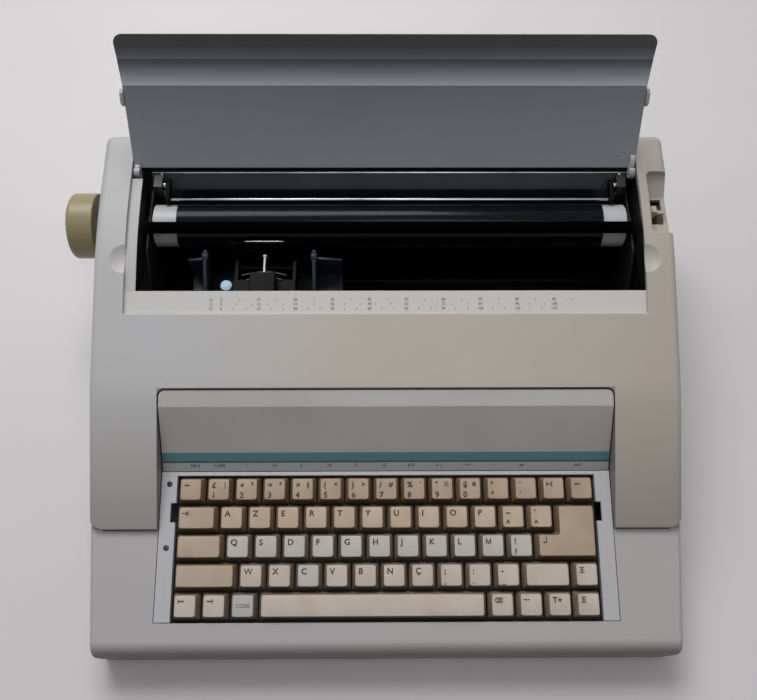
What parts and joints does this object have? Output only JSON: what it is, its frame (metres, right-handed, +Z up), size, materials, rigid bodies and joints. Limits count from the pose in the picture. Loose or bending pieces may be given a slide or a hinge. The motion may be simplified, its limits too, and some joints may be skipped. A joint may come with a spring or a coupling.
{
  "type": "electronic typewriter",
  "caption": "Portable electronic typewriter with a sloping keyboard deck, raised side wings, platen, daisy-wheel carriage and a hinged paper cover standing open.",
  "frame": {"origin": "centre of the case footprint on the desk plane, midway between the four feet", "axes": "+X to the right, +Y to the back, +Z up; the keyboard faces -Y"},
  "size_m": [0.4265, 0.3759, 0.1965],
  "materials": {
    "case_plastic": "fine textured warm grey",
    "bezel_plastic": "fine textured pale grey",
    "panel_plastic": "smooth mid grey",
    "cover_plastic": "painted grey inside, cream edge",
    "foot_rubber": "matt",
    "platen_rubber": "ground, slightly glossy",
    "white_plastic": "satin",
    "knob_plastic": "satin khaki",
    "gear_plastic": "natural acetal",
    "zinc_steel": "zinc plated",
    "bright_steel": "ground",
    "motor_steel": "satin dark",
    "dark_sheet": "satin black",
    "black_plastic": "satin black",
    "arm_plastic": "dark blue grey",
    "blue_plastic": "pale blue",
    "lever_plastic": "beige",
    "board_laminate": "circuit board",
    "frame_plastic": "black",
    "lamp_red": "dark red lens",
    "key_beige": "satin beige",
    "key_grey": "satin grey white"
  },
  "bodies": {
    "case": {"bail_brackets": "black_plastic", "base_plate": "dark_sheet", "bottom_case": "case_plastic", "carriage_motor": "motor_steel", "case_screws": "zinc_steel", "cover_hinge_pins": "zinc_steel", "drive_belt": "black_plastic", "front_panel": "panel_plastic", "guide_shaft": "bright_steel", "keyboard_bezel": "bezel_plastic", "keyboard_board": "board_laminate", "keyboard_frame": "frame_plastic", "left_side_plate": "dark_sheet", "line_feed_motor": "motor_steel", "main_board": "board_laminate", "paper_guide": "dark_sheet", "paper_table": "dark_sheet", "platen_bushes": "black_plastic", "power_inlet": "black_plastic", "rear_rail": "dark_sheet", "right_side_plate": "dark_sheet", "rubber_feet": "foot_rubber", "status_lamps": "lamp_red", "top_case": "case_plastic", "transformer": "motor_steel"},
    "paper_cover": {"paper_cover": "cover_plastic"},
    "platen": {"platen_core": "white_plastic", "platen_rubber": "platen_rubber", "platen_knob": "knob_plastic", "platen_gear": "gear_plastic"},
    "line_feed_pinion": {"line_feed_pinion": "gear_plastic"},
    "feed_rollers": {"feed_rollers": "platen_rubber", "feed_roller_shaft": "bright_steel"},
    "bail": {"bail_rod": "bright_steel"},
    "release_lever": {"paper_release_lever": "lever_plastic"},
    "carriage": {"carriage_body": "black_plastic", "ribbon_arms": "arm_plastic", "wheel_motor": "motor_steel", "hammer_coil": "motor_steel", "card_guide": "black_plastic"},
    "print_wheel": {"print_wheel": "white_plastic"},
    "hammer": {"print_hammer": "bright_steel"},
    "ribbon_spindle": {"ribbon_spindle": "blue_plastic"},
    "motor_pulley": {"motor_pulley": "gear_plastic"},
    "idler_pulley": {"idler_pulley": "gear_plastic"},
    "power_switch": {"power_switch": "black_plastic"},
    "number_row_keys": {"number_row_keys": "key_beige"},
    "upper_row_keys": {"upper_row_keys": "key_beige"},
    "home_row_keys": {"home_row_keys": "key_grey"},
    "lower_row_keys": {"lower_row_keys": "key_beige"},
    "tab_key": {"tab_key": "key_beige"},
    "return_key": {"return_key": "key_beige"},
    "lock_key": {"lock_key": "key_beige"},
    "left_shift_key": {"left_shift_key": "key_beige"},
    "right_shift_key": {"right_shift_key": "key_beige"},
    "space_bar": {"space_bar": "key_beige"},
    "correction_key": {"correction_key": "key_beige"},
    "margin_keys": {"margin_keys": "key_beige"},
    "edit_keys": {"edit_keys": "key_beige"},
    "code_key": {"code_key": "key_beige"}
  },
  "joints": [
    {"name": "cover_hinge", "type": "hinge", "parent": "case", "child": "paper_cover", "pos_m": [0, 0.1455, 0.116], "axis": [1, 0, 0], "range_deg": [0, 128.5]},
    {"name": "platen_spin", "type": "hinge", "parent": "case", "child": "platen", "pos_m": [0, 0.1175, 0.09], "axis": [1, 0, 0], "continuous": true},
    {"name": "line_feed_pinion_spin", "type": "hinge", "parent": "case", "child": "line_feed_pinion", "pos_m": [-0.1915, 0.14083, 0.06667], "axis": [1, 0, 0], "continuous": true},
    {"name": "feed_roller_spin", "type": "hinge", "parent": "case", "child": "feed_rollers", "pos_m": [0, 0.12158, 0.06686], "axis": [1, 0, 0], "continuous": true},
    {"name": "bail_lift", "type": "hinge", "parent": "case", "child": "bail", "pos_m": [0, 0.141, 0.1075], "axis": [-1, 0, 0], "range_deg": [0, 32]},
    {"name": "paper_release", "type": "hinge", "parent": "case", "child": "release_lever", "pos_m": [0.188, 0.1165, 0.057], "axis": [-1, 0, 0], "range_deg": [-5.2, 8.5]},
    {"name": "carriage_travel", "type": "slide", "parent": "case", "child": "carriage", "axis": [1, 0, 0], "range_m": [-0.026, 0.205]},
    {"name": "print_wheel_spin", "type": "hinge", "parent": "carriage", "child": "print_wheel", "pos_m": [-0.086, 0.096, 0.061], "axis": [0, 1, 0], "continuous": true},
    {"name": "hammer_stroke", "type": "slide", "parent": "carriage", "child": "hammer", "axis": [0, 1, 0], "range_m": [0, 0.003], "stiffness_N_per_m": 60, "springref_m": -0.002},
    {"name": "ribbon_feed", "type": "hinge", "parent": "carriage", "child": "ribbon_spindle", "pos_m": [-0.114, 0.072, 0.084], "axis": [0, 0, 1], "continuous": true},
    {"name": "motor_pulley_spin", "type": "hinge", "parent": "case", "child": "motor_pulley", "pos_m": [0.15, 0.03, 0.034], "axis": [0, 0, 1], "range_deg": [-1367.8, 175.2]},
    {"name": "idler_pulley_spin", "type": "hinge", "parent": "case", "child": "idler_pulley", "pos_m": [-0.1565, 0.03, 0.034], "axis": [0, 0, 1], "range_deg": [-1367.8, 175.2]},
    {"name": "power_switch_rock", "type": "hinge", "parent": "case", "child": "power_switch", "pos_m": [0.104, 0.1697, 0.038], "axis": [1, 0, 0], "range_deg": [0, 16]},
    {"name": "number_row_keys_press", "type": "slide", "parent": "case", "child": "number_row_keys", "axis": [0, 0.1392, -0.9903], "range_m": [0, 0.0038], "stiffness_N_per_m": 160, "springref_m": -0.004},
    {"name": "upper_row_keys_press", "type": "slide", "parent": "case", "child": "upper_row_keys", "axis": [0, 0.1392, -0.9903], "range_m": [0, 0.0038], "stiffness_N_per_m": 160, "springref_m": -0.004},
    {"name": "home_row_keys_press", "type": "slide", "parent": "case", "child": "home_row_keys", "axis": [0, 0.1392, -0.9903], "range_m": [0, 0.0038], "stiffness_N_per_m": 160, "springref_m": -0.004},
    {"name": "lower_row_keys_press", "type": "slide", "parent": "case", "child": "lower_row_keys", "axis": [0, 0.1392, -0.9903], "range_m": [0, 0.0038], "stiffness_N_per_m": 160, "springref_m": -0.004},
    {"name": "tab_key_press", "type": "slide", "parent": "case", "child": "tab_key", "axis": [0, 0.1392, -0.9903], "range_m": [0, 0.0038], "stiffness_N_per_m": 160, "springref_m": -0.004},
    {"name": "return_key_press", "type": "slide", "parent": "case", "child": "return_key", "axis": [0, 0.1392, -0.9903], "range_m": [0, 0.0038], "stiffness_N_per_m": 160, "springref_m": -0.004},
    {"name": "lock_key_press", "type": "slide", "parent": "case", "child": "lock_key", "axis": [0, 0.1392, -0.9903], "range_m": [0, 0.0038], "stiffness_N_per_m": 160, "springref_m": -0.004},
    {"name": "left_shift_key_press", "type": "slide", "parent": "case", "child": "left_shift_key", "axis": [0, 0.1392, -0.9903], "range_m": [0, 0.0038], "stiffness_N_per_m": 160, "springref_m": -0.004},
    {"name": "right_shift_key_press", "type": "slide", "parent": "case", "child": "right_shift_key", "axis": [0, 0.1392, -0.9903], "range_m": [0, 0.0038], "stiffness_N_per_m": 160, "springref_m": -0.004},
    {"name": "space_bar_press", "type": "slide", "parent": "case", "child": "space_bar", "axis": [0, 0.1392, -0.9903], "range_m": [0, 0.0038], "stiffness_N_per_m": 160, "springref_m": -0.004},
    {"name": "correction_key_press", "type": "slide", "parent": "case", "child": "correction_key", "axis": [0, 0.1392, -0.9903], "range_m": [0, 0.0038], "stiffness_N_per_m": 160, "springref_m": -0.004},
    {"name": "margin_keys_press", "type": "slide", "parent": "case", "child": "margin_keys", "axis": [0, 0.1392, -0.9903], "range_m": [0, 0.0038], "stiffness_N_per_m": 160, "springref_m": -0.004},
    {"name": "edit_keys_press", "type": "slide", "parent": "case", "child": "edit_keys", "axis": [0, 0.1392, -0.9903], "range_m": [0, 0.0038], "stiffness_N_per_m": 160, "springref_m": -0.004},
    {"name": "code_key_press", "type": "slide", "parent": "case", "child": "code_key", "axis": [0, 0.1392, -0.9903], "range_m": [0, 0.0038], "stiffness_N_per_m": 160, "springref_m": -0.004}
  ],
  "couplings": [
    {"joint": "line_feed_pinion_spin", "follows": "platen_spin", "ratio": -2.6667},
    {"joint": "feed_roller_spin", "follows": "platen_spin", "ratio": -2.9},
    {"joint": "motor_pulley_spin", "follows": "carriage_travel", "rad_per_m": -116.28},
    {"joint": "idler_pulley_spin", "follows": "carriage_travel", "rad_per_m": -116.28}
  ]
}
